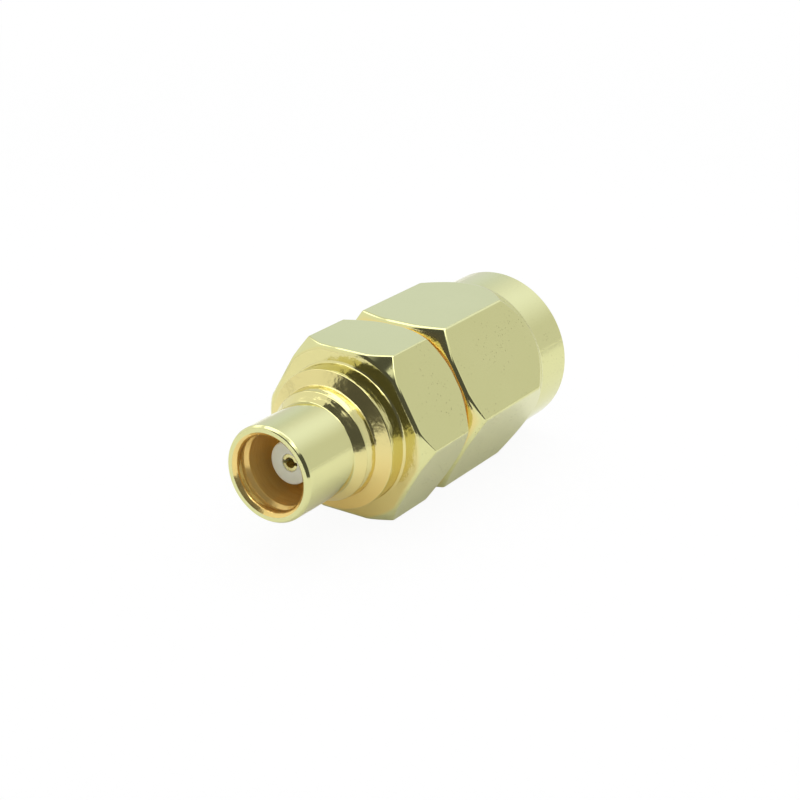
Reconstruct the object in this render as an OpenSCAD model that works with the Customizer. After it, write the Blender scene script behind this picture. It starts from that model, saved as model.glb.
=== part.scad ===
// Straight coax adapter: a small push-in jack at one end, a threaded plug at the other.
// The axis runs along X and points out of the plug. X = 0 is the plug's reference plane.
// Both hexagons have level flats, and the lower flats are what the adapter lies on.

/* [Jack barrel] */
// Outside diameter of the barrel
barrel_d = 4.46; // [4.3:0.02:4.8]
// Length of the barrel from its mouth to the flare
barrel_len = 3.29; // [2.8:0.01:3.8]
// Bevel on the outer edge of the mouth
rim_bevel = 0.14; // [0.05:0.01:0.17]
// Diameter of the lead-in where it meets the mouth
mouth_d = 3.88; // [3.7:0.02:3.95]
// Length of the lead-in cone
lead_in_len = 0.16; // [0.1:0.02:0.3]
// Bore that takes the mating plug
socket_d = 3.5; // [3.3:0.02:3.6]
// Length of the straight land ahead of the snap groove
land_len = 0.28; // [0.2:0.02:0.5]
// Depth of the snap groove below the bore
snap_depth = 0.17; // [0.1:0.01:0.2]
// Length of the snap groove
snap_len = 0.52; // [0.4:0.02:0.6]
// Depth of the annular socket from the mouth
socket_depth = 3.1; // [2.6:0.05:3.2]
// Length of the flare from the barrel up to the flange
flare_len = 0.43; // [0.2:0.01:0.6]
// Diameter of the flange
flange_d = 5.28; // [5.1:0.02:5.6]
// Length of the flange
flange_len = 0.625; // [0.4:0.005:0.9]
// Diameter of the spigot pressed into the body
spigot_d = 5; // [4.8:0.02:5.1]
// Length of the spigot inside the body
spigot_len = 2.6; // [2:0.1:3.2]

/* [Plug body] */
// Length of the steep cone from the flange up to the collar
nose_len = 0.235; // [0.1:0.005:0.5]
// Diameter of the collar ahead of the hexagon
collar_d = 6.61; // [6.2:0.01:7]
// Length of the collar
collar_len = 0.945; // [0.6:0.005:1.4]
// Distance across the flats of both hexagons
hex_af = 8; // [7.6:0.1:8.6]
// Length of the body hexagon
body_hex_len = 4.09; // [3:0.05:5]
// Diameter where the front chamfer of the body hexagon starts
body_front_d = 8.18; // [7.7:0.02:8.4]
// Diameter where the rear chamfer of the body hexagon ends
body_rear_d = 7.88; // [7.5:0.02:8.2]
// Axial run of the body chamfers for each unit of radius
body_chamfer_run = 1.2; // [0.6:0.05:1.6]
// Length of the neck that carries the nut
neck_len = 3.87; // [3.5:0.05:4.6]
// Length of the ferrule from the gasket seat to the reference plane
ferrule_len = 2.6; // [2.2:0.05:3]
// Wall of the ferrule
ferrule_wall = 0.245; // [0.2:0.005:0.3]
// Bevel on the ferrule lip
ferrule_bevel = 0.08; // [0.03:0.01:0.12]

/* [Coupling nut] */
// Overall length of the nut
nut_len = 9.17; // [8.6:0.05:10]
// Free gap between the body hexagon and the nut
nut_gap = 0.2; // [0.15:0.01:0.3]
// Diameter where the front chamfer of the nut starts
nut_front_d = 7.8; // [7.4:0.02:8]
// Axial run of the front chamfer for each unit of radius
nut_front_run = 0.75; // [0.5:0.05:1.2]
// Diameter of the round skirt at the mouth
skirt_d = 7.86; // [7.4:0.02:7.98]
// Length of the round skirt
skirt_len = 2.35; // [1.6:0.05:3]
// Axial run of the long rear chamfer for each unit of radius
nut_rear_run = 2.1; // [1.5:0.05:2.6]
// Bevel on the outer edge of the skirt
skirt_bevel = 0.12; // [0.05:0.01:0.25]
// Bore of the thread, measured over its crests
thread_minor_d = 5.7; // [5.5:0.02:5.9]
// Diameter of the countersink at the mouth of the thread
countersink_d = 6.6; // [6.4:0.02:6.8]
// Length of the threaded bore with its countersink
thread_len = 5.3; // [4.8:0.1:5.6]
// Length of the web that runs on the neck
web_len = 1.1; // [0.8:0.05:1.3]
// Radial play between the web and the neck
run_clearance = 0.04; // [0.02:0.01:0.08]

/* [Retaining ring and gasket] */
// Depth of the ring below the neck surface
ring_depth = 0.35; // [0.2:0.01:0.4]
// Height of the ring above the neck surface
ring_stand = 0.3; // [0.2:0.01:0.35]
// Axial width of the ring
ring_w = 0.5; // [0.4:0.02:0.6]
// Opening of the split in the ring
ring_split = 0.9; // [0.5:0.05:1.5]
// Axial play of the ring in its groove, on each side
ring_side_play = 0.05; // [0.02:0.01:0.1]
// Axial play between the web and the ring
web_play = 0.15; // [0.1:0.01:0.2]
// Radial play between the ring and the nut
ring_play = 0.12; // [0.1:0.01:0.2]
// Axial thickness of the gasket
gasket_t = 0.8; // [0.5:0.05:1]
// Wall of the gasket around the ferrule
gasket_wall = 0.355; // [0.25:0.005:0.45]
// Radial play between the gasket and the bore around it
gasket_play = 0.2; // [0.15:0.01:0.3]

/* [Insulators and contact] */
// Diameter of the plug insulator in the ferrule
dielectric_d = 4.1; // [3.9:0.02:4.2]
// Diameter of the plug insulator's head
head_d = 4.5; // [4.4:0.02:4.7]
// Length of the plug insulator's head
head_len = 2; // [1.2:0.1:2.6]
// Diameter of the insulator post in the jack
post_d = 2; // [1.9:0.02:2.2]
// Depth of the post face below the jack mouth
post_recess = 1.54; // [1.2:0.02:1.9]
// Diameter of the jack insulator's base
base_d = 2.9; // [2.6:0.05:3.2]
// Length of the jack insulator's base
base_len = 3.1; // [2.4:0.1:3.3]
// Diameter of the contact socket in the jack
contact_d = 0.8; // [0.74:0.01:0.86]
// Depth of the contact's end below the post face
contact_recess = 0.05; // [0.02:0.01:0.2]
// Hole in the contact socket
contact_hole_d = 0.48; // [0.44:0.01:0.56]
// Depth of the hole in the contact socket
contact_hole_depth = 2.2; // [1.6:0.1:2.6]
// Width of the slot across the contact socket
contact_slot_w = 0.16; // [0.1:0.01:0.2]
// Length of the slot across the contact socket
contact_slot_len = 1.6; // [1:0.1:1.6]
// Diameter of the collar that holds the contact in place
contact_collar_d = 1.8; // [1.5:0.05:2]
// Length of that collar
contact_collar_len = 0.6; // [0.4:0.05:0.8]
// Diameter of the contact rod in the plug insulator
rod_d = 1.27; // [1.1:0.01:1.4]
// Diameter of the plug pin
pin_d = 0.914; // [0.9:0.001:0.94]
// Length of the plug pin past the reference plane
pin_len = 2; // [1.6:0.05:2.4]
// Bevel on the tip of the plug pin
pin_bevel = 0.22; // [0.1:0.01:0.3]

/* [Hidden] */
$fn = 120;

gold = [0.84, 0.78, 0.52];
white_plastic = [0.9, 0.9, 0.87];
dark_rubber = [0.62, 0.2, 0.14];

// Cutters run past the faces they open by this much.
past = 0.5;

// Stations along the axis, from the reference plane back to the jack mouth.
gasket_seat_x = -ferrule_len;
body_rear_x = gasket_seat_x - neck_len;
hex_front_x = body_rear_x - body_hex_len;
hex_mid_x = hex_front_x + body_hex_len / 2;
collar_front_x = hex_front_x - collar_len;
flange_rear_x = collar_front_x - nose_len;
flange_front_x = flange_rear_x - flange_len;
barrel_end_x = flange_front_x - flare_len;
mouth_x = barrel_end_x - barrel_len;

// Seat shared by the spigot, the insulators and the contact collar.
seat_x = flange_rear_x + spigot_len;
head_step_x = seat_x + head_len;
base_front_x = seat_x - base_len;
post_face_x = mouth_x + post_recess;
contact_end_x = post_face_x + contact_recess;
contact_collar_x = seat_x - contact_collar_len;
land_x = mouth_x + lead_in_len;
snap_x = land_x + land_len;
snap_end_x = snap_x + snap_len;
socket_floor_x = mouth_x + socket_depth;

// Stations of the nut and of the ring that holds it.
nut_front_x = body_rear_x + nut_gap;
nut_mouth_x = nut_front_x + nut_len;
skirt_x = nut_mouth_x - skirt_len;
web_end_x = nut_front_x + web_len;
thread_x = nut_mouth_x - thread_len;
ring_x = web_end_x + web_play;
ring_end_x = ring_x + ring_w;

// Diameters that follow from the fits.
corner_d = hex_af / cos(30);
ferrule_d = dielectric_d + 2 * ferrule_wall;
gasket_od = ferrule_d + 2 * gasket_wall;
gasket_room_d = gasket_od + 2 * gasket_play;
neck_play = 0.05;
neck_d = thread_minor_d - 2 * neck_play;
web_bore_d = neck_d + 2 * run_clearance;
ring_id = neck_d - 2 * ring_depth;
ring_od = neck_d + 2 * ring_stand;
nut_relief_d = ring_od + 2 * ring_play;
snap_d = socket_d + 2 * snap_depth;

// Solid of revolution about the axis, from points given as [diameter, station].
module turned(points) {
    rotate([0, 90, 0])
        rotate_extrude()
            polygon([for (p = points) [p[0] / 2, p[1]]]);
}

// Hexagonal bar with level flats between two stations.
module hex_bar(from_x, to_x) {
    translate([from_x, 0, 0])
        rotate([0, 90, 0])
            rotate([0, 0, 30])
                cylinder(h = to_x - from_x, d = corner_d, $fn = 6);
}

// Socket barrel, flared up to its flange, with the spigot pressed into the body.
module jack_barrel() {
    color(gold)
        difference() {
            turned([
                [0, mouth_x],
                [barrel_d - 2 * rim_bevel, mouth_x],
                [barrel_d, mouth_x + rim_bevel],
                [barrel_d, barrel_end_x],
                [flange_d, flange_front_x],
                [flange_d, flange_rear_x],
                [spigot_d, flange_rear_x],
                [spigot_d, seat_x],
                [0, seat_x]
            ]);
            jack_cavity();
        }
}

// Everything bored out of the jack barrel: lead-in, land, snap groove, socket, insulator seat.
module jack_cavity() {
    turned([
        [0, mouth_x - past],
        [mouth_d, mouth_x - past],
        [mouth_d, mouth_x],
        [socket_d, land_x],
        [socket_d, snap_x],
        [snap_d, snap_x + snap_depth],
        [snap_d, snap_end_x - snap_depth],
        [socket_d, snap_end_x],
        [socket_d, socket_floor_x],
        [post_d, socket_floor_x],
        [post_d, base_front_x],
        [base_d, base_front_x],
        [base_d, seat_x + past],
        [0, seat_x + past]
    ]);
}

// Stepped insulator: a post in the socket and a base held against the seat.
module jack_insulator() {
    color(white_plastic)
        difference() {
            turned([
                [0, post_face_x],
                [post_d, post_face_x],
                [post_d, base_front_x],
                [base_d, base_front_x],
                [base_d, seat_x],
                [0, seat_x]
            ]);
            turned([
                [0, post_face_x - past],
                [contact_d, post_face_x - past],
                [contact_d, contact_collar_x],
                [contact_collar_d, contact_collar_x],
                [contact_collar_d, seat_x + past],
                [0, seat_x + past]
            ]);
        }
}

// One turned contact: slotted socket for the jack, holding collar, rod and plug pin.
module centre_contact() {
    color(gold)
        difference() {
            turned([
                [0, contact_end_x],
                [contact_d, contact_end_x],
                [contact_d, contact_collar_x],
                [contact_collar_d, contact_collar_x],
                [contact_collar_d, seat_x],
                [rod_d, seat_x],
                [rod_d, 0],
                [pin_d, 0],
                [pin_d, pin_len - pin_bevel],
                [pin_d - 2 * pin_bevel, pin_len],
                [0, pin_len]
            ]);
            turned([
                [0, contact_end_x - past],
                [contact_hole_d, contact_end_x - past],
                [contact_hole_d, contact_end_x + contact_hole_depth],
                [0, contact_end_x + contact_hole_depth]
            ]);
            translate([contact_end_x - past, -contact_d, -contact_slot_w / 2])
                cube([past + contact_slot_len, 2 * contact_d, contact_slot_w]);
        }
}

// Insulator of the plug, flush with the reference plane.
module plug_insulator() {
    color(white_plastic)
        difference() {
            turned([
                [0, seat_x],
                [head_d, seat_x],
                [head_d, head_step_x],
                [dielectric_d, head_step_x],
                [dielectric_d, 0],
                [0, 0]
            ]);
            turned([
                [0, seat_x - past],
                [rod_d, seat_x - past],
                [rod_d, past],
                [0, past]
            ]);
        }
}

// Hexagon of the body with a chamfer cone at each end.
module body_hexagon() {
    intersection() {
        hex_bar(hex_front_x, body_rear_x);
        turned([
            [0, hex_front_x],
            [body_front_d, hex_front_x],
            [body_front_d + body_hex_len / body_chamfer_run, hex_mid_x],
            [body_rear_d + body_hex_len / body_chamfer_run, hex_mid_x],
            [body_rear_d, body_rear_x],
            [0, body_rear_x]
        ]);
    }
}

// Nose cone, collar, hexagon, neck with the ring groove, and ferrule in one piece.
module plug_body() {
    color(gold)
        difference() {
            union() {
                body_hexagon();
                turned([
                    [0, flange_rear_x],
                    [flange_d, flange_rear_x],
                    [collar_d, collar_front_x],
                    [collar_d, hex_mid_x],
                    [neck_d, hex_mid_x],
                    [neck_d, ring_x - ring_side_play],
                    [ring_id, ring_x - ring_side_play],
                    [ring_id, ring_end_x + ring_side_play],
                    [neck_d, ring_end_x + ring_side_play],
                    [neck_d, gasket_seat_x],
                    [ferrule_d, gasket_seat_x],
                    [ferrule_d, -ferrule_bevel],
                    [ferrule_d - 2 * ferrule_bevel, 0],
                    [0, 0]
                ]);
            }
            turned([
                [0, flange_rear_x - past],
                [spigot_d, flange_rear_x - past],
                [spigot_d, seat_x],
                [head_d, seat_x],
                [head_d, head_step_x],
                [dielectric_d, head_step_x],
                [dielectric_d, past],
                [0, past]
            ]);
        }
}

// Flat sealing ring at the foot of the ferrule.
module gasket() {
    color(dark_rubber)
        turned([
            [ferrule_d, gasket_seat_x],
            [gasket_od, gasket_seat_x],
            [gasket_od, gasket_seat_x + gasket_t],
            [ferrule_d, gasket_seat_x + gasket_t]
        ]);
}

// Split ring that sits in the neck groove and holds the nut on.
module retaining_ring() {
    color(gold)
        difference() {
            turned([
                [ring_id, ring_x],
                [ring_od, ring_x],
                [ring_od, ring_end_x],
                [ring_id, ring_end_x]
            ]);
            translate([ring_x - past, -ring_split / 2, 0])
                cube([ring_w + 2 * past, ring_split, ring_od]);
        }
}

// Free-spinning nut: hexagon, round skirt, threaded bore, ring relief and running web.
module coupling_nut() {
    color(gold)
        difference() {
            intersection() {
                hex_bar(nut_front_x, nut_mouth_x);
                nut_outline();
            }
            nut_cavity();
        }
}

// Turned outline that chamfers the nut's hexagon and forms the skirt.
module nut_outline() {
    cone_rise = (corner_d - skirt_d) / 2;
    front_rise = (corner_d - nut_front_d) / 2;
    turned([
        [0, nut_front_x],
        [nut_front_d, nut_front_x],
        [corner_d, nut_front_x + front_rise * nut_front_run],
        [corner_d, skirt_x - cone_rise * nut_rear_run],
        [skirt_d, skirt_x],
        [skirt_d, nut_mouth_x - skirt_bevel],
        [skirt_d - 2 * skirt_bevel, nut_mouth_x],
        [0, nut_mouth_x]
    ]);
}

// Everything bored out of the nut, from the web to the countersunk mouth, with room for the gasket.
module nut_cavity() {
    countersink_len = (countersink_d - thread_minor_d) / 2;
    gasket_room_x = gasket_seat_x + gasket_t + gasket_play;
    turned([
        [0, nut_front_x - past],
        [web_bore_d, nut_front_x - past],
        [web_bore_d, web_end_x],
        [nut_relief_d, web_end_x],
        [nut_relief_d, thread_x],
        [thread_minor_d, thread_x],
        [thread_minor_d, nut_mouth_x - countersink_len],
        [countersink_d, nut_mouth_x],
        [countersink_d, nut_mouth_x + past],
        [0, nut_mouth_x + past]
    ]);
    turned([
        [0, gasket_seat_x],
        [gasket_room_d, gasket_seat_x],
        [gasket_room_d, gasket_room_x],
        [0, gasket_room_x]
    ]);
}

jack_barrel();
jack_insulator();
centre_contact();
plug_insulator();
plug_body();
gasket();
retaining_ring();
coupling_nut();
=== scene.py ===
"""Straight coax adapter: plated finish, rounded edges, coupling thread, studio and camera."""
import math
from collections import namedtuple

import bpy
import numpy as np
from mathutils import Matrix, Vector


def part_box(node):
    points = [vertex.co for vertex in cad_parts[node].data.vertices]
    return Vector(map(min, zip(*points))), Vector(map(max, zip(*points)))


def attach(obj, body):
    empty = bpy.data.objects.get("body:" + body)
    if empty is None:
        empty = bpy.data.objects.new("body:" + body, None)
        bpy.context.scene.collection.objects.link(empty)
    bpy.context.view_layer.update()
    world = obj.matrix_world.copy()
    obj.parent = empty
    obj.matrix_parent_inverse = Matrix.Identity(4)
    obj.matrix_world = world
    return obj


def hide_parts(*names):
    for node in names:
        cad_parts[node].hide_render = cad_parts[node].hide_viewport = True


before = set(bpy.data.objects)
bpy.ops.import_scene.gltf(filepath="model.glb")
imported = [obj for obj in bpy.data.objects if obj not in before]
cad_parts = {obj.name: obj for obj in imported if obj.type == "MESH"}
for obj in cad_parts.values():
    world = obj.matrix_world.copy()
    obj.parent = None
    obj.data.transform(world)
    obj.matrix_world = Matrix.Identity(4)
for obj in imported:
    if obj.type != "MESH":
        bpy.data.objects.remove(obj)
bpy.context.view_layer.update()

# Sizes of the part are in millimetres, and its meshes are written in metres.
MM = 0.001


def reach(node):
    """Lowest and highest station of a node along the axis, and its greatest height above it."""
    low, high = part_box(node)
    return low.x / MM, high.x / MM, high.z / MM


# Stations and radii that the frame gives
MOUTH_X, SEAT_X, FLANGE_R = reach("jack_barrel")
FLANGE_REAR_X, PLUG_X, HEX_R = reach("plug_body")
NUT_FRONT_X, NUT_MOUTH_X, _ = reach("coupling_nut")
POST_FACE_X, _, BASE_R = reach("jack_insulator")
CONTACT_X, PIN_TIP_X, CONTACT_COLLAR_R = reach("centre_contact")
_, _, HEAD_R = reach("plug_insulator")
GASKET_X, GASKET_END_X, GASKET_R = reach("gasket")
RING_X, RING_END_X, _ = reach("retaining_ring")

# Jack barrel
BARREL_R = 2.23
BARREL_LEN = 3.29
RIM_BEVEL_RUN = 0.14
RIM_BEVEL_RISE = 0.085
MOUTH_R = 1.94
LEAD_IN_LEN = 0.16
SOCKET_R = 1.75
LAND_LEN = 0.28
SNAP_DEPTH = 0.17
SNAP_LEN = 0.52
SOCKET_DEPTH = 3.1
FLARE_LEN = 0.43
FLANGE_TAPER = 0.06
FLANGE_TAPER_LEN = 0.42
SPIGOT_R = 2.5

# Plug body
NOSE_LEN = 0.235
COLLAR_R = 3.305
COLLAR_LEN = 0.945
BODY_HEX_LEN = 4.09
BODY_FRONT_R = 4.09
BODY_REAR_R = 3.94
BODY_CHAMFER_RUN = 1.2
NECK_R = 2.8
RING_SEAT_R = 2.45
RING_SIDE_PLAY = 0.05
FERRULE_R = 2.295
FERRULE_BEVEL = 0.08
FEATHER_LIFT = 0.001

# Coupling nut
NUT_FRONT_R = 3.9
NUT_FRONT_RUN = 0.75
SKIRT_R = 3.93
SKIRT_LEN = 2.35
NUT_REAR_RUN = 2.1
SKIRT_BEVEL = 0.12
WEB_BORE_R = 2.84
WEB_LEN = 1.1
RELIEF_R = 3.22
COUNTERSINK_R = 3.3

# Coupling thread: half widths of its foot and crest are shares of the pitch, and its foot is sunk in the nut.
THREAD_CREST_R = 2.85
THREAD_ROOT_R = 3.175
THREAD_LEN = 5.3
THREAD_PITCH = 25.4 / 36
THREAD_FOOT = 0.44
THREAD_CREST = 1 / 16
THREAD_SUNK = 0.02
THREAD_RUN_OUT_TURNS = 0.25

# Insulators and contact
POST_R = 1.0
BASE_LEN = 3.1
DIELECTRIC_R = 2.05
HEAD_LEN = 2.0
CONTACT_R = 0.4
CONTACT_HOLE_R = 0.24
CONTACT_HOLE_DEPTH = 2.2
SLOT_HALF = 0.08
SLOT_LEN = 1.6
CONTACT_COLLAR_LEN = 0.6
ROD_R = 0.635
PIN_R = 0.457
PIN_BEVEL = 0.22

# Roundings
FEATHER = 0.0005
FINE = 0.02
EDGE = 0.06
ROOT = 0.13
RIM_ROUND = 0.1
FLANGE_ROUND = 0.12
FLANGE_CROWN = 1.2
BELL = 0.25
HEX_EDGE = 0.2
NUT_EDGE = 0.27
NUT_FACE_ROUND = 2.0
BODY_REAR_EDGE = 0.16
BODY_CORNER = 0.1
NUT_CORNER = 0.16
RUN_OUT = 0.3
PIN_ROUND = 0.2
PIN_TIP_ROUND = 0.1
GASKET_ROUND = 0.12

# How deep a surface lies in a recess: 0 in the open, 1 in a bore, and more in the gap between the hexagons.
# The gold's colour takes painted warm reflection and painted shade by this value, strongest in the gap, where
# it paints an orange glow; it also sets roughness, tool marks, metallic and where pits go.
BARREL_RECESS = 0.1
FLARE_RECESS = 0.5
FLANGE_EDGE_RECESS = 0.3
FLANGE_RECESS = 0.5
FLANGE_REAR_RECESS = 0.6
NOSE_RECESS = 0.8
COLLAR_RECESS = 0.4
FACE_RECESS = 0.5
GAP_RECESS = 1.6
MOUTH_RECESS = 0.86
LEAD_IN_RECESS = 0.88
GROOVE_RECESS = 0.95
BORE_RECESS = 1.0
CONTACT_RIM_RECESS = 0.3
CONTACT_SIDE_RECESS = 0.6
CONTACT_HOLE_RECESS = 0.8
COUNTERSINK_RECESS = 0.3
THREAD_ROOT_RECESS = 0.6
THREAD_RECESS = 0.4

# Stations that follow
BARREL_END_X = MOUTH_X + BARREL_LEN
FLANGE_FRONT_X = BARREL_END_X + FLARE_LEN
COLLAR_FRONT_X = FLANGE_REAR_X + NOSE_LEN
HEX_FRONT_X = COLLAR_FRONT_X + COLLAR_LEN
BODY_REAR_X = HEX_FRONT_X + BODY_HEX_LEN
SKIRT_X = NUT_MOUTH_X - SKIRT_LEN
THREAD_X = NUT_MOUTH_X - THREAD_LEN
COUNTERSINK_X = NUT_MOUTH_X - (COUNTERSINK_R - THREAD_ROOT_R)
WEB_END_X = NUT_FRONT_X + WEB_LEN
CONTACT_COLLAR_X = SEAT_X - CONTACT_COLLAR_LEN
SLOT_END_X = CONTACT_X + SLOT_LEN
HEAD_STEP_X = SEAT_X + HEAD_LEN
BASE_X = SEAT_X - BASE_LEN

# Fineness of the meshes
COLUMNS = 192
CORNER_STEPS = 6
FLAT_STEPS = 26
FINGER_STEPS = 36
THREAD_STEPS_PER_TURN = 64
ARC_STEP = math.radians(9)
STRAIGHT = 1e-4
ON_AXIS_R = 1e-9

# A point of an outline has its normal, how deep it lies in a recess and how far it takes a flat's normal.
# A corner's recess changes to the value it has on leaving, where that is given.
Point = namedtuple("Point", "x r nx nr recess flat", defaults=(0.0, 0.0))
Corner = namedtuple("Corner", "x r rounding recess leaving", defaults=(FINE, 0.0, None))
Column = namedtuple("Column", "angle radius normal")
Shell = namedtuple("Shell", "points normals recess faces")

FRONT, REAR = -1, 1
FROM_FLAT_TO_ROUND = (1.0, 0.0)


def between(ends, share):
    return ends[0] + (ends[1] - ends[0]) * share


def arc(centre, radius, start, turn, hollow=False, recess=(0.0, 0.0), flat=(0.0, 0.0)):
    """Points of an arc whose normal starts at an angle and turns; recess and flat are given at both ends."""
    steps = max(2, math.ceil(abs(turn) / ARC_STEP))
    side = -radius if hollow else radius
    points = []
    for i in range(steps + 1):
        share = i / steps
        nx = math.cos(start + turn * share)
        nr = math.sin(start + turn * share)
        points.append(Point(centre[0] + side * nx, centre[1] + side * nr, nx, nr,
                            between(recess, share), between(flat, share)))
    return points


def round_corner(before, corner, after, flat=(0.0, 0.0)):
    """Arc that rounds a corner; outlines run so that their outer side is on the left."""
    way_in = (Vector((corner.x, corner.r)) - Vector(before[:2])).normalized()
    way_out = (Vector(after[:2]) - Vector((corner.x, corner.r))).normalized()
    turn = math.atan2(way_in.x * way_out.y - way_in.y * way_out.x, way_in.dot(way_out))
    start = math.atan2(way_in.x, -way_in.y)
    if abs(turn) < STRAIGHT:
        return [Point(corner.x, corner.r, math.cos(start), math.sin(start), corner.recess)]
    hollow = turn > 0
    back = corner.rounding * math.tan(abs(turn) / 2)
    side = corner.rounding if hollow else -corner.rounding
    centre = (corner.x - way_in.x * back + side * math.cos(start),
              corner.r - way_in.y * back + side * math.sin(start))
    leaving = corner.recess if corner.leaving is None else corner.leaving
    return arc(centre, corner.rounding, start, turn, hollow, (corner.recess, leaving), flat)


def outline(items, closed=True):
    """Points along corners and ready arcs. An open outline starts and ends on the axis."""
    def first(item):
        return item if isinstance(item, Corner) else item[0]

    def last(item):
        return item if isinstance(item, Corner) else item[-1]

    points = []
    for i, item in enumerate(items):
        if not isinstance(item, Corner):
            points += item
        elif closed or 0 < i < len(items) - 1:
            points += round_corner(last(items[i - 1]), item, first(items[(i + 1) % len(items)]))
        else:
            points.append(Point(item.x, item.r, -1.0 if i == 0 else 1.0, 0.0, item.recess))
    return points


def chamfered_end(face_x, side, start_r, run, flat_r, rounding, face_rounding=0.0, recess=0.0):
    """Rounded edge from a flat, over a chamfer cone, to an end face at the front or rear.

    The rounding between the cone and the face is the larger one where there is room for it.
    """
    slant = math.hypot(1, run)
    cone = math.atan2(run, 1)
    face_u = side * face_x
    room = (flat_r - start_r) * slant - rounding * math.tan((math.pi / 2 - cone) / 2)
    inner = max(rounding, min(face_rounding, room / math.tan(cone / 2)))
    high = (face_u - rounding * slant - run * (flat_r - rounding - start_r), flat_r - rounding)
    low = (face_u - inner, start_r + inner * (1 - slant) / run)
    if room < rounding * math.tan(cone / 2):
        high = low = (face_u - rounding, flat_r - rounding)
    points = arc(high, rounding, math.pi / 2, cone - math.pi / 2, flat=FROM_FLAT_TO_ROUND)
    points += arc(low, inner, cone, -cone, recess=(0.0, recess))
    if side == REAR:
        return points
    return [p._replace(x=-p.x, nx=-p.nx) for p in reversed(points)]


def round_section():
    """Columns of a turned piece."""
    angles = [2 * math.pi * i / COLUMNS for i in range(COLUMNS)]
    return [Column(a, 0.0, a) for a in angles]


def hexagon_section(corner_rounding):
    """Columns round a hexagon with level flats and rounded corners."""
    columns = []
    half_flat = (HEX_R - corner_rounding) * math.tan(math.pi / 6)
    centre = (HEX_R - corner_rounding) / math.cos(math.pi / 6)
    for k in range(6):
        middle = k * math.pi / 3
        for i in range(CORNER_STEPS + 1):
            normal = middle + math.pi / 3 * (i / CORNER_STEPS - 0.5)
            y = centre * math.cos(middle) + corner_rounding * math.cos(normal)
            z = centre * math.sin(middle) + corner_rounding * math.sin(normal)
            columns.append(Column(math.atan2(z, y), math.hypot(y, z), normal))
        normal = middle + math.pi / 6
        for i in range(1, FLAT_STEPS):
            along = half_flat * (2 * i / FLAT_STEPS - 1)
            columns.append(Column(normal + math.atan2(along, HEX_R), math.hypot(along, HEX_R), normal))
    return columns


def sweep(section, outline_at, closed=True):
    """Shell made of one outline in each column of a section."""
    outlines = [outline_at(column.radius) for column in section]
    rows = len(outlines[0])
    x, r, nx, nr, recess, flat = np.moveaxis(np.array(outlines), 2, 0)
    angle = np.array([c.angle for c in section])[:, None]
    normal = np.array([c.normal for c in section])[:, None]
    points = np.stack([x, r * np.cos(angle), r * np.sin(angle)], axis=2)
    across = (1 - flat) * np.cos(angle) + flat * np.cos(normal)
    up = (1 - flat) * np.sin(angle) + flat * np.sin(normal)
    size = np.hypot(across, up)
    normals = np.stack([nx, nr * across / size, nr * up / size], axis=2)
    index = np.arange(len(section) * rows).reshape(len(section), rows)
    on_axis = np.all(r < ON_AXIS_R, axis=0)
    index[:, on_axis] = index[0, on_axis]
    faces = []
    for j in range(len(section)):
        here, there = index[j], index[(j + 1) % len(section)]
        for i in range(rows if closed else rows - 1):
            k = (i + 1) % rows
            face = list(dict.fromkeys((here[i], there[i], there[k], here[k])))
            if len(face) > 2:
                faces.append(face)
    return Shell(points.reshape(-1, 3), normals.reshape(-1, 3), recess.ravel(), faces)


def turned(items, closed=True):
    """Shell of a turned piece."""
    points = outline(items, closed)
    return sweep(round_section(), lambda _: points, closed)


def piece(name, shells, body, replaced=None):
    """Object made of shells, in metres, with its normals, its recess attribute and its ride."""
    points = []
    normals = []
    recess = []
    faces = []
    for shell in shells:
        used = sorted({i for face in shell.faces for i in face})
        place = {old: new + len(points) for new, old in enumerate(used)}
        points += [tuple(shell.points[i] * MM) for i in used]
        normals += [tuple(shell.normals[i]) for i in used]
        recess += [float(shell.recess[i]) for i in used]
        faces += [[place[i] for i in face] for face in shell.faces]
    mesh = bpy.data.meshes.new(name)
    mesh.from_pydata(points, [], faces)
    mesh.attributes.new("recess", "FLOAT", "POINT").data.foreach_set("value", recess)
    mesh.shade_smooth()
    mesh.normals_split_custom_set_from_vertices(normals)
    made = bpy.data.objects.new(name, mesh)
    bpy.context.scene.collection.objects.link(made)
    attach(made, body)
    if replaced:
        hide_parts(replaced)
    return made


# Pieces of the adapter body

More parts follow.
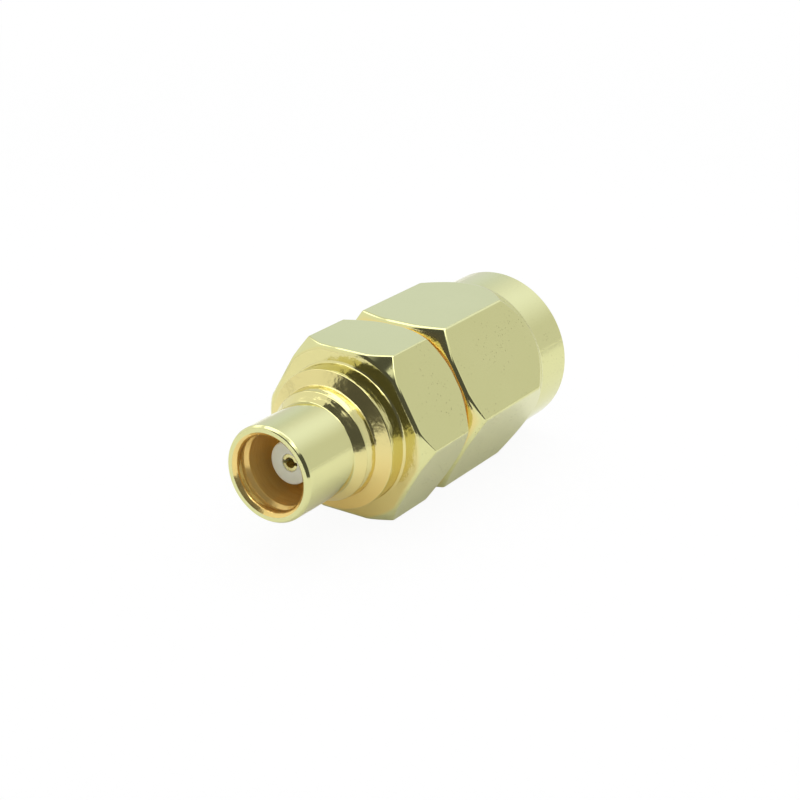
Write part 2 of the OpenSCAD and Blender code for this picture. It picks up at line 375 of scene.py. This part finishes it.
def jack_barrel():
    """Socket barrel with a bell-mouthed lead-in, snap groove, flare, flange and spigot."""
    land_x = MOUTH_X + LEAD_IN_LEN
    snap_x = land_x + LAND_LEN
    snap_end_x = snap_x + SNAP_LEN
    floor_x = MOUTH_X + SOCKET_DEPTH
    return piece("socket_barrel", [turned([
        Corner(MOUTH_X, BARREL_R - RIM_BEVEL_RISE, EDGE),
        Corner(MOUTH_X + RIM_BEVEL_RUN, BARREL_R, RIM_ROUND),
        Corner(BARREL_END_X, BARREL_R, ROOT, BARREL_RECESS, FLARE_RECESS),
        Corner(FLANGE_FRONT_X, FLANGE_R - FLANGE_TAPER, FLANGE_ROUND, FLARE_RECESS, FLANGE_EDGE_RECESS),
        Corner(FLANGE_FRONT_X + FLANGE_TAPER_LEN, FLANGE_R, FLANGE_CROWN, FLANGE_RECESS),
        Corner(FLANGE_REAR_X, FLANGE_R, FINE, FLANGE_REAR_RECESS),
        Corner(FLANGE_REAR_X, SPIGOT_R),
        Corner(SEAT_X, SPIGOT_R),
        Corner(SEAT_X, BASE_R),
        Corner(BASE_X, BASE_R, FINE, BORE_RECESS),
        Corner(BASE_X, POST_R, FINE, BORE_RECESS),
        Corner(floor_x, POST_R, FINE, BORE_RECESS),
        Corner(floor_x, SOCKET_R, EDGE, BORE_RECESS),
        Corner(snap_end_x, SOCKET_R, EDGE, BORE_RECESS),
        Corner(snap_end_x - SNAP_DEPTH, SOCKET_R + SNAP_DEPTH, EDGE, BORE_RECESS),
        Corner(snap_x + SNAP_DEPTH, SOCKET_R + SNAP_DEPTH, EDGE, GROOVE_RECESS),
        Corner(snap_x, SOCKET_R, EDGE, LEAD_IN_RECESS),
        Corner(land_x, SOCKET_R, BELL, LEAD_IN_RECESS),
        Corner(MOUTH_X, MOUTH_R, FINE, MOUTH_RECESS, 0.0),
    ])], "adapter_body", "jack_barrel")


def plug_body():
    """Nose cone that feathers onto the flange, collar, hexagon, neck with its ring groove, and ferrule."""
    feather_x = FLANGE_REAR_X - ROOT
    feather_r = FLANGE_R + FEATHER_LIFT
    groove_x = RING_X - RING_SIDE_PLAY
    groove_end_x = RING_END_X + RING_SIDE_PLAY

    def outline_at(flat_r):
        return outline([
            Corner(feather_x, feather_r, FEATHER),
            Corner(FLANGE_REAR_X, feather_r, ROOT, NOSE_RECESS),
            Corner(COLLAR_FRONT_X, COLLAR_R, EDGE, NOSE_RECESS, COLLAR_RECESS),
            Corner(HEX_FRONT_X, COLLAR_R, ROOT, FACE_RECESS),
            chamfered_end(HEX_FRONT_X, FRONT, BODY_FRONT_R, BODY_CHAMFER_RUN, flat_r, HEX_EDGE,
                          recess=FACE_RECESS),
            chamfered_end(BODY_REAR_X, REAR, BODY_REAR_R, BODY_CHAMFER_RUN, flat_r, BODY_REAR_EDGE,
                          recess=GAP_RECESS),
            Corner(BODY_REAR_X, NECK_R, ROOT, BORE_RECESS),
            Corner(groove_x, NECK_R, FINE, BORE_RECESS),
            Corner(groove_x, RING_SEAT_R, FINE, BORE_RECESS),
            Corner(groove_end_x, RING_SEAT_R, FINE, BORE_RECESS),
            Corner(groove_end_x, NECK_R, FINE, BORE_RECESS),
            Corner(GASKET_X, NECK_R, EDGE, BORE_RECESS),
            Corner(GASKET_X, FERRULE_R, FINE, BORE_RECESS),
            Corner(PLUG_X - FERRULE_BEVEL, FERRULE_R),
            Corner(PLUG_X, FERRULE_R - FERRULE_BEVEL),
            Corner(PLUG_X, DIELECTRIC_R),
            Corner(HEAD_STEP_X, DIELECTRIC_R),
            Corner(HEAD_STEP_X, HEAD_R),
            Corner(SEAT_X, HEAD_R),
            Corner(SEAT_X, SPIGOT_R),
            Corner(FLANGE_REAR_X, SPIGOT_R),
            Corner(FLANGE_REAR_X, FLANGE_R, FEATHER),
        ])

    return piece("hex_body", [sweep(hexagon_section(BODY_CORNER), outline_at)],
                 "adapter_body", "plug_body")


def jack_insulator():
    """White post in the socket with its wider base."""
    return piece("socket_insulator", [turned([
        Corner(POST_FACE_X, CONTACT_R, EDGE),
        Corner(POST_FACE_X, POST_R, EDGE),
        Corner(BASE_X, POST_R),
        Corner(BASE_X, BASE_R),
        Corner(SEAT_X, BASE_R),
        Corner(SEAT_X, CONTACT_COLLAR_R),
        Corner(CONTACT_COLLAR_X, CONTACT_COLLAR_R),
        Corner(CONTACT_COLLAR_X, CONTACT_R),
    ])], "adapter_body", "jack_insulator")


def finger(side):
    """One half of the slotted contact socket, cut off flat along the slot."""
    points = outline([
        Corner(CONTACT_X, CONTACT_R, FINE, CONTACT_RIM_RECESS),
        Corner(SLOT_END_X, CONTACT_R, FINE, CONTACT_SIDE_RECESS),
        Corner(SLOT_END_X, CONTACT_HOLE_R, FINE, BORE_RECESS),
        Corner(CONTACT_X, CONTACT_HOLE_R, FINE, CONTACT_HOLE_RECESS, CONTACT_RIM_RECESS),
    ])
    rows = len(points)
    verts = []
    normals = []
    for j in range(FINGER_STEPS + 1):
        for p in points:
            edge = math.asin(SLOT_HALF / p.r)
            angle = edge + (math.pi - 2 * edge) * j / FINGER_STEPS
            across, up = side * math.cos(angle), side * math.sin(angle)
            verts.append((p.x, p.r * across, p.r * up))
            normals.append((p.nx, p.nr * across, p.nr * up))
    faces = []
    for j in range(FINGER_STEPS):
        for i in range(rows):
            k = (i + 1) % rows
            faces.append([j * rows + i, (j + 1) * rows + i, (j + 1) * rows + k, j * rows + k])
    for column in (0, FINGER_STEPS):
        start = len(verts)
        verts += verts[column * rows:(column + 1) * rows]
        normals += [(0.0, 0.0, -side)] * rows
        cap = list(range(start, start + rows))
        faces.append(cap if column == 0 else cap[::-1])
    recess = [p.recess for p in points] * (len(verts) // rows)
    return Shell(np.array(verts), np.array(normals), np.array(recess), faces)


def centre_contact():
    """Slotted socket, holding collar, rod and plug pin."""
    hole_end_x = CONTACT_X + CONTACT_HOLE_DEPTH
    rod = turned([
        Corner(hole_end_x, 0.0, FINE, BORE_RECESS),
        Corner(hole_end_x, CONTACT_HOLE_R, FINE, BORE_RECESS),
        Corner(SLOT_END_X, CONTACT_HOLE_R, FINE, BORE_RECESS),
        Corner(SLOT_END_X, CONTACT_R, FINE, BORE_RECESS),
        Corner(CONTACT_COLLAR_X, CONTACT_R),
        Corner(CONTACT_COLLAR_X, CONTACT_COLLAR_R),
        Corner(SEAT_X, CONTACT_COLLAR_R),
        Corner(SEAT_X, ROD_R),
        Corner(PLUG_X, ROD_R),
        Corner(PLUG_X, PIN_R),
        Corner(PIN_TIP_X - PIN_BEVEL, PIN_R, PIN_ROUND),
        Corner(PIN_TIP_X, PIN_R - PIN_BEVEL, PIN_TIP_ROUND),
        Corner(PIN_TIP_X, 0.0),
    ], closed=False)
    return piece("contact", [finger(1), finger(-1), rod], "adapter_body", "centre_contact")


def plug_insulator():
    """White cylinder in the ferrule, with its head."""
    return piece("plug_dielectric", [turned([
        Corner(SEAT_X, ROD_R),
        Corner(SEAT_X, HEAD_R),
        Corner(HEAD_STEP_X, HEAD_R),
        Corner(HEAD_STEP_X, DIELECTRIC_R),
        Corner(PLUG_X, DIELECTRIC_R, EDGE),
        Corner(PLUG_X, ROD_R, EDGE),
    ])], "adapter_body", "plug_insulator")


def gasket():
    """Sealing ring with rounded outer edges."""
    return piece("sealing_ring", [turned([
        Corner(GASKET_X, FERRULE_R),
        Corner(GASKET_X, GASKET_R, GASKET_ROUND),
        Corner(GASKET_END_X, GASKET_R, GASKET_ROUND),
        Corner(GASKET_END_X, FERRULE_R, EDGE),
    ])], "adapter_body", "gasket")


# Pieces of the nut

def coupling_nut():
    """Hexagon that runs out into the round skirt, bored to the root of the thread."""
    def outline_at(flat_r):
        flat_end = Corner(SKIRT_X - (flat_r - SKIRT_R) * NUT_REAR_RUN, flat_r, RUN_OUT)
        return outline([
            Corner(NUT_FRONT_X, WEB_BORE_R, EDGE, BORE_RECESS),
            chamfered_end(NUT_FRONT_X, FRONT, NUT_FRONT_R, NUT_FRONT_RUN, flat_r, NUT_EDGE,
                          NUT_FACE_ROUND, GAP_RECESS),
            round_corner((NUT_FRONT_X, flat_r), flat_end, (SKIRT_X, SKIRT_R), FROM_FLAT_TO_ROUND),
            Corner(SKIRT_X, SKIRT_R, RUN_OUT),
            Corner(NUT_MOUTH_X - SKIRT_BEVEL, SKIRT_R, EDGE),
            Corner(NUT_MOUTH_X, SKIRT_R - SKIRT_BEVEL, EDGE),
            Corner(NUT_MOUTH_X, COUNTERSINK_R, EDGE),
            Corner(COUNTERSINK_X, THREAD_ROOT_R, FINE, COUNTERSINK_RECESS),
            Corner(THREAD_X, THREAD_ROOT_R, FINE, THREAD_ROOT_RECESS),
            Corner(THREAD_X, RELIEF_R, FINE, BORE_RECESS),
            Corner(WEB_END_X, RELIEF_R, FINE, BORE_RECESS),
            Corner(WEB_END_X, WEB_BORE_R, FINE, BORE_RECESS),
        ])

    return piece("nut", [sweep(hexagon_section(NUT_CORNER), outline_at)],
                 "nut", "coupling_nut")


def coupling_thread():
    """Right-hand ridge of the thread, from its root in the nut to its crest, running out at both ends."""
    foot = THREAD_FOOT * THREAD_PITCH
    crest = THREAD_CREST * THREAD_PITCH
    sunk_r = THREAD_ROOT_R + THREAD_SUNK
    start_x = THREAD_X + foot
    end_x = COUNTERSINK_X - foot
    steps = round((end_x - start_x) / THREAD_PITCH * THREAD_STEPS_PER_TURN)
    run_out_steps = THREAD_RUN_OUT_TURNS * THREAD_STEPS_PER_TURN
    slope = math.atan2(foot - crest, THREAD_ROOT_R - THREAD_CREST_R)
    near = (-math.cos(slope), -math.sin(slope))
    inward = (0, -1)
    far = (math.cos(slope), -math.sin(slope))
    verts = []
    normals = []
    for i in range(steps + 1):
        angle = 2 * math.pi * i / THREAD_STEPS_PER_TURN
        across, up = math.cos(angle), math.sin(angle)
        x = start_x + THREAD_PITCH * i / THREAD_STEPS_PER_TURN
        rise = min(1.0, i / run_out_steps, (steps - i) / run_out_steps)
        top_r = between((sunk_r, THREAD_CREST_R), rise)
        profile = ((x - foot, sunk_r, near), (x - crest, top_r, near), (x - crest, top_r, inward),
                   (x + crest, top_r, inward), (x + crest, top_r, far), (x + foot, sunk_r, far))
        for at_x, at_r, (nx, nr) in profile:
            verts.append((at_x, at_r * across, at_r * up))
            normals.append((nx, nr * across, nr * up))
    rows = len(profile)
    faces = []
    for i in range(steps):
        for a, b in ((0, 1), (2, 3), (4, 5), (5, 0)):
            faces.append([i * rows + a, i * rows + b, (i + 1) * rows + b, (i + 1) * rows + a])
    shell = Shell(np.array(verts), np.array(normals), np.full(len(verts), THREAD_RECESS), faces)
    return piece("nut_thread", [shell], "nut")


# Materials: pairs are the two ends of a ramp, lengths are in millimetres and noise scales are per millimetre.

WHITE = (1, 1, 1, 1)
PALE_GOLD = ((0.665, 0.66, 0.31, 1), (0.715, 0.71, 0.35, 1))
# Painted warm reflection and painted shade: the colour goes towards this deeper gold in recesses, more so
# from the upper height down to the lower one (in millimetres), and all round in bores over the given recess
# values. It stands in for gold mirrored in gold and for shade in hollows.
PAINTED_REFLECTION_GOLD = (0.90, 0.64, 0.21, 1)
PAINTED_REFLECTION_HEIGHT = (1.5, -2.5)
BORE_PAINTED_REFLECTION_RECESS = (0.8, 0.9)
BORE_METAL_RECESS = (0.8, 1.0)
BORE_METAL = (1.0, 0.55)
CLOUD_SCALE = 0.35
CLOUD_SPREAD = (0.3, 0.7)
POLISH = (0.07, 0.12)

# Unevenness of turned recesses: the tool marks are fine along the axis and long around it.
TURNED_RECESS = (0.15, 0.5)
RIPPLE_SCALE = 2.2
RIPPLE_HEIGHT = (0.25, 8.0)
MARK_STRETCH = (3.0, 0.6, 0.6)
MARK_SCALE = 1.5
MARK_HEIGHT = (0.0, 10.0)
GOLD_BUMP = 0.25
BUMP_HEIGHT = 0.01

# Pits of the hexagons
PIT_CELL_SCALE = 7.0
PIT_RIM = (0.36, 0.1)
PIT_RARITY = 0.62
PIT_PATCH_SCALE = 0.55
PIT_PATCH = (0.42, 0.6)
PIT_RECESS = (0.0, 0.2)
PIT_SIDE_Y = (-1.5, -3.0)
PIT_COLOUR = (0.34, 0.33, 0.15, 1)
PIT_SHADE = 0.55
PIT_ROUGHNESS = 0.3

# Plastic and rubber
# Plastic tones are partly the plastic's own off-white and partly painted shade: they are written darker and
# greener than white, as the plastic looks in the shade deep in the socket.
PTFE_TONES_AND_PAINTED_SHADE = ((0.71, 0.74, 0.61, 1), (0.77, 0.80, 0.67, 1))
RUBBER_TONES = ((0.42, 0.07, 0.04, 1), (0.52, 0.10, 0.06, 1))
MOTTLE_SCALE = 3.0
PLASTIC_BUMP = 0.2
SUBSURFACE_DEPTH = 0.3


class Nodes:
    """Short way to add and join the nodes of one material or world."""

    def __init__(self, tree):
        self.tree = tree
        tree.nodes.clear()

    def add(self, kind, inputs=None, **settings):
        node = self.tree.nodes.new(kind)
        for name, value in settings.items():
            setattr(node, name, value)
        for name, value in (inputs or {}).items():
            if isinstance(value, bpy.types.NodeSocket):
                self.tree.links.new(value, node.inputs[name])
            else:
                node.inputs[name].default_value = value
        return node

    def math(self, operation, a, b=0.0):
        return self.add("ShaderNodeMath", {0: a, 1: b}, operation=operation).outputs[0]

    def mix(self, share, a, b):
        return self.add("ShaderNodeMix", {0: share, 6: a, 7: b}, data_type="RGBA").outputs[2]

    def ramp(self, value, low, high, start=0.0, end=1.0):
        limits = {"Value": value, "From Min": low, "From Max": high, "To Min": start, "To Max": end}
        return self.add("ShaderNodeMapRange", limits, interpolation_type="SMOOTHSTEP").outputs["Result"]

    def noise(self, place, scale, detail=2.0):
        inputs = {"Vector": place, "Scale": scale, "Detail": detail}
        return self.add("ShaderNodeTexNoise", inputs).outputs["Fac"]

    def place(self):
        return self.add("ShaderNodeTexCoord").outputs["Object"]

    def millimetres(self):
        scaled = self.add("ShaderNodeVectorMath", {0: self.place(), "Scale": 1 / MM}, operation="SCALE")
        return scaled.outputs[0]

    def distance(self):
        return self.add("ShaderNodeVectorMath", {0: self.place()}, operation="LENGTH").outputs["Value"]

    def axes(self, place):
        return self.add("ShaderNodeSeparateXYZ", {0: place}).outputs

    def bump(self, height, strength):
        inputs = {"Height": height, "Strength": strength, "Distance": BUMP_HEIGHT * MM}
        return self.add("ShaderNodeBump", inputs).outputs[0]

    def sight(self):
        """Two values: 1 for the camera, also through clear things, and 1 for what metal mirrors."""
        path = self.add("ShaderNodeLightPath").outputs
        direct = self.math("MAXIMUM", path["Is Camera Ray"], path["Is Transmission Ray"])
        return direct, path["Is Glossy Ray"]

    def blend(self, share, a, b):
        return self.add("ShaderNodeMixShader", {0: share, 1: a.outputs[0], 2: b.outputs[0]})

    def surface(self, shader, kind="ShaderNodeOutputMaterial"):
        self.add(kind, {"Surface": shader.outputs[0]})


def new_material(name):
    made = bpy.data.materials.new(name)
    made.use_nodes = True
    return made, Nodes(made.node_tree)


def gold_with_painted_reflection(n, cloud, z, recess, upper_painted_reflection):
    """Pale gold in the open, with painted warm reflection and painted shade: the colour goes to a deeper gold
    in recesses, more so low down, and all round in bores.
    """
    low = n.math("MULTIPLY", recess, n.ramp(z, *PAINTED_REFLECTION_HEIGHT, upper_painted_reflection, 1.0))
    deep = n.math("MAXIMUM", low, n.ramp(recess, *BORE_PAINTED_REFLECTION_RECESS))
    return n.mix(deep, n.mix(cloud, *PALE_GOLD), PAINTED_REFLECTION_GOLD)


def unevenness(n, place, recess):
    """Faint ripple, stronger in turned recesses, where tool marks run round the axis."""
    stretched = n.add("ShaderNodeVectorMath", {0: place, 1: MARK_STRETCH}, operation="MULTIPLY").outputs[0]
    ripple = n.noise(place, RIPPLE_SCALE)
    marks = n.noise(stretched, MARK_SCALE)
    return n.math("ADD", n.math("MULTIPLY", ripple, n.ramp(recess, *TURNED_RECESS, *RIPPLE_HEIGHT)),
                  n.math("MULTIPLY", marks, n.ramp(recess, *TURNED_RECESS, *MARK_HEIGHT)))


def pits(n, place, y, recess):
    """Fine pits in clusters, in the open and on one side."""
    cells = n.add("ShaderNodeTexVoronoi", {"Vector": place, "Scale": PIT_CELL_SCALE}).outputs
    chance = n.add("ShaderNodeSeparateColor", {"Color": cells["Color"]}).outputs[0]
    dot = n.math("MULTIPLY", n.ramp(cells["Distance"], *PIT_RIM), n.math("GREATER_THAN", chance, PIT_RARITY))
    open_side = n.math("MULTIPLY", n.ramp(recess, *PIT_RECESS, 1.0, 0.0), n.ramp(y, *PIT_SIDE_Y))
    patch = n.ramp(n.noise(place, PIT_PATCH_SCALE), *PIT_PATCH)
    return n.math("MULTIPLY", dot, n.math("MULTIPLY", patch, open_side))


def gold_material(name, pitted=False, bore_roughness=0.1, upper_painted_reflection=0.4, bored=True):
    """Gold plating, with painted warm reflection and painted shade in its recesses; the upper-side argument
    is the share of that painted deeper tone that the upper side of a recess takes.
    """
    made, n = new_material(name)
    place = n.millimetres()
    axes = n.axes(place)
    recess = n.add("ShaderNodeAttribute", attribute_name="recess").outputs["Fac"]
    cloud = n.noise(place, CLOUD_SCALE, detail=3.0)
    colour = gold_with_painted_reflection(n, cloud, axes["Z"], recess, upper_painted_reflection)
    rough = n.math("ADD", n.ramp(cloud, *CLOUD_SPREAD, *POLISH), n.math("MULTIPLY", recess, bore_roughness))
    height = unevenness(n, place, recess)
    if pitted:
        pit = pits(n, place, axes["Y"], recess)
        colour = n.mix(n.math("MULTIPLY", pit, PIT_SHADE), colour, PIT_COLOUR)
        rough = n.math("ADD", rough, n.math("MULTIPLY", pit, PIT_ROUGHNESS))
        height = n.math("SUBTRACT", height, pit)
    n.surface(n.add("ShaderNodeBsdfPrincipled", {
        "Base Color": colour, "Roughness": rough, "Normal": n.bump(height, GOLD_BUMP),
        "Metallic": n.ramp(recess, *BORE_METAL_RECESS, *BORE_METAL) if bored else 1.0}))
    return made


def plastic_material(name, tones, roughness, subsurface):
    """Plain moulded plastic or rubber with a fine mottle."""
    made, n = new_material(name)
    mottle = n.noise(n.millimetres(), MOTTLE_SCALE, detail=4.0)
    n.surface(n.add("ShaderNodeBsdfPrincipled", {
        "Base Color": n.mix(mottle, *tones), "Roughness": roughness, "Normal": n.bump(mottle, PLASTIC_BUMP),
        "Subsurface Weight": subsurface, "Subsurface Radius": (1, 1, 1),
        "Subsurface Scale": SUBSURFACE_DEPTH * MM}))
    return made


# Studio, in metres. Azimuths and elevations are in degrees, as seen from the studio's centre.

FLOOR_Z = -HEX_R * MM
STUDIO_CENTRE = Vector((-12.0 * MM, 0.0, FLOOR_Z))
LIGHT_LEVEL = 0.8
FLOOR_RADIUS = 0.15
FLOOR_SIDES = 96
FLOOR_SHADE_SEEN = 0.06
FLOOR_SHADE_MIRRORED = 0.85
FLOOR_FADE = (0.015, 0.12)
# Painted fall-off of light: the floor's paper is written from this pale tone near the object down to this
# darker one, over the given distances.
FLOOR_PAINTED_FALLOFF = (0.9, 0.64)
SCREEN_SOFT = math.radians(6)
SCREEN_STEPS = 48
NEAR_SCREEN = 0.04
FAR_SCREEN = 0.5
DARK_CLOTH = 0.1
PALE_CLOTH = 0.8
GLOW_DISTANCE = 0.25
GLOW_SIDES = 48


def stage_mesh(name, points, faces):
    """Object that belongs to the studio."""
    mesh = bpy.data.meshes.new(name)
    mesh.from_pydata(points, [], faces)
    made = bpy.data.objects.new(name, mesh)
    bpy.context.scene.collection.objects.link(made)
    return made


def stage_disc(name, radius, sides):
    """Flat round card."""
    angles = [2 * math.pi * i / sides for i in range(sides)]
    rim = [(radius * math.cos(a), radius * math.sin(a), 0.0) for a in angles]
    return stage_mesh(name, rim, [list(range(sides))])


def floor():
    """Pale floor that meets the surround's level at its rim, its paper painted darker from the middle out as
    a painted fall-off of light; the camera sees its shadow softened.
    """
    made = stage_disc("floor", FLOOR_RADIUS, FLOOR_SIDES)
    made.location.z = FLOOR_Z
    material, n = new_material("pale_floor")
    direct, mirrored = n.sight()
    off = n.distance()
    share = n.math("ADD", n.math("MULTIPLY", direct, n.ramp(off, *FLOOR_FADE, 1 - FLOOR_SHADE_SEEN, 1.0)),
                   n.math("MULTIPLY", mirrored, 1 - FLOOR_SHADE_MIRRORED))
    paper = n.add("ShaderNodeBsdfDiffuse", {"Color": n.ramp(off, *FLOOR_FADE, *FLOOR_PAINTED_FALLOFF)})
    white = n.add("ShaderNodeEmission", {"Color": WHITE, "Strength": 1.0})
    n.surface(n.blend(share, paper, white))
    made.data.materials.append(material)


def screen(name, start, end, top, radius, tone):
    """Curved screen that metal sees between two azimuths and up to an elevation; soft at its edges."""
    half = math.radians(end - start) / 2
    height = radius * math.tan(math.radians(top))
    points = []
    for i in range(SCREEN_STEPS + 1):
        angle = half * (2 * i / SCREEN_STEPS - 1)
        across, along = radius * math.cos(angle), radius * math.sin(angle)
        points += [(across, along, 0.0), (across, along, height)]
    made = stage_mesh(name, points, [[2 * i, 2 * i + 2, 2 * i + 3, 2 * i + 1] for i in range(SCREEN_STEPS)])
    made.location = STUDIO_CENTRE
    made.rotation_euler.z = math.radians(start + end) / 2
    material, n = new_material(name)
    axes = n.axes(n.place())
    turn = n.math("ABSOLUTE", n.math("ARCTAN2", axes["Y"], axes["X"]))
    lift = n.math("ARCTAN2", axes["Z"], radius)
    faded = n.math("MAXIMUM", n.ramp(turn, half - SCREEN_SOFT, half),
                   n.ramp(lift, math.radians(top) - SCREEN_SOFT, math.radians(top)))
    _, mirrored = n.sight()
    unseen = n.math("MAXIMUM", faded, n.math("SUBTRACT", 1.0, mirrored))
    cloth = n.add("ShaderNodeEmission", {"Color": WHITE, "Strength": tone})
    clear = n.add("ShaderNodeBsdfTransparent")
    n.surface(n.blend(unseen, cloth, clear))
    made.data.materials.append(material)


def soft_box(name, place, width, length, radiance):
    """Soft lamp of a given radiance that hangs level and shines down."""
    lamp = bpy.data.lights.new(name, "AREA")
    lamp.shape = "RECTANGLE"
    lamp.size = width
    lamp.size_y = length
    lamp.energy = radiance * math.pi * width * length
    made = bpy.data.objects.new(name, lamp)
    made.location = place
    bpy.context.scene.collection.objects.link(made)


def glow_card(name, azimuth, elevation, radius, colour, strength):
    """Round card that adds a soft glow, strongest at its middle, to what is behind it."""
    made = stage_disc(name, radius, GLOW_SIDES)
    turn, lift = math.radians(azimuth), math.radians(elevation)
    away = Vector((math.cos(turn) * math.cos(lift), math.sin(turn) * math.cos(lift), math.sin(lift)))
    made.location = STUDIO_CENTRE + away * GLOW_DISTANCE
    made.rotation_euler = away.to_track_quat("Z", "Y").to_euler()
    material, n = new_material(name)
    seen = n.math("SUBTRACT", 1.0, n.add("ShaderNodeLightPath").outputs["Is Camera Ray"])
    glow = n.math("MULTIPLY", n.ramp(n.distance(), radius, 0.0, 0.0, strength), seen)
    light = n.add("ShaderNodeEmission", {"Color": colour, "Strength": glow})
    clear = n.add("ShaderNodeBsdfTransparent")
    n.surface(n.add("ShaderNodeAddShader", {0: light.outputs[0], 1: clear.outputs[0]}))
    made.data.materials.append(material)


def studio_world():
    """Even surround at a plain light level, and white behind the object and in what metal mirrors."""
    world = bpy.data.worlds.new("studio")
    world.use_nodes = True
    bpy.context.scene.world = world
    n = Nodes(world.node_tree)
    direct, mirrored = n.sight()
    level = n.add("ShaderNodeBackground", {"Color": WHITE, "Strength": LIGHT_LEVEL})
    white = n.add("ShaderNodeBackground", {"Color": WHITE, "Strength": 1.0})
    n.surface(n.blend(n.math("MAXIMUM", direct, mirrored), level, white), "ShaderNodeOutputWorld")


# Camera: aim and distance are in millimetres.

AZIMUTH = math.radians(-55.94)
ELEVATION = math.radians(22.23)
AIM = Vector((-6.321, -0.228, 0.223))
DISTANCE = 84.05
LENS = 81.0
SENSOR = 36.0
CLIP_START = 1.0


def camera():
    data = bpy.data.cameras.new("camera")
    data.lens = LENS
    data.sensor_width = SENSOR
    data.clip_start = CLIP_START * MM
    made = bpy.data.objects.new("camera", data)
    back = Vector((math.sin(AZIMUTH) * math.cos(ELEVATION), -math.cos(AZIMUTH) * math.cos(ELEVATION),
                   math.sin(ELEVATION)))
    made.location = (AIM + back * DISTANCE) * MM
    made.rotation_euler = (math.pi / 2 - ELEVATION, 0.0, AZIMUTH)
    bpy.context.scene.collection.objects.link(made)
    bpy.context.scene.camera = made


GOLD = gold_material("gold_plate")
PLAIN_GOLD = gold_material("plain_gold_plate", bored=False)
PITTED_GOLD = gold_material("pitted_gold_plate", pitted=True)
# The nut's copy takes the full painted reflection and shade on the upper side of its recesses too, as on the
# lower side.
NUT_PAINTED_REFLECTION_GOLD = gold_material("nut_gold_plate_full_painted_reflection", pitted=True, upper_painted_reflection=1.0)
DRILLED_GOLD = gold_material("drilled_gold_plate", bore_roughness=0.6)
PTFE = plastic_material("ptfe", PTFE_TONES_AND_PAINTED_SHADE, roughness=0.35, subsurface=0.5)
RUBBER = plastic_material("gasket_rubber", RUBBER_TONES, roughness=0.6, subsurface=0.0)

jack_barrel().data.materials.append(GOLD)
coupling_thread().data.materials.append(PLAIN_GOLD)
centre_contact().data.materials.append(DRILLED_GOLD)
plug_body().data.materials.append(PITTED_GOLD)
coupling_nut().data.materials.append(NUT_PAINTED_REFLECTION_GOLD)
for insulator in (jack_insulator(), plug_insulator()):
    insulator.data.materials.append(PTFE)
gasket().data.materials.append(RUBBER)

split_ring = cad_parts["retaining_ring"]
split_ring.data.materials.clear()
split_ring.data.materials.append(PLAIN_GOLD)

floor()
screen("low_screen", start=151, end=288, top=46, radius=NEAR_SCREEN, tone=DARK_CLOTH)
screen("middle_screen", start=151, end=240, top=58, radius=NEAR_SCREEN, tone=DARK_CLOTH)
screen("high_screen", start=150, end=220, top=74, radius=NEAR_SCREEN, tone=DARK_CLOTH)
screen("pale_screen", start=-72, end=70, top=62, radius=FAR_SCREEN, tone=PALE_CLOTH)
studio_world()
soft_box("overhead", place=(0.068, 0.05, 0.3), width=0.255, length=0.4, radiance=1.3)
glow_card("side_glow", azimuth=-5, elevation=40, radius=0.16, colour=(0.62, 0.68, 1, 1), strength=0.55)
glow_card("back_glow", azimuth=34, elevation=22, radius=0.12, colour=(0.2, 0.5, 1, 1), strength=0.2)
glow_card("front_glow", azimuth=251, elevation=61, radius=0.055, colour=WHITE, strength=3.5)
glow_card("left_glow", azimuth=76, elevation=38, radius=0.065, colour=WHITE, strength=1.6)
camera()
bpy.context.scene.view_settings.view_transform = "Standard"
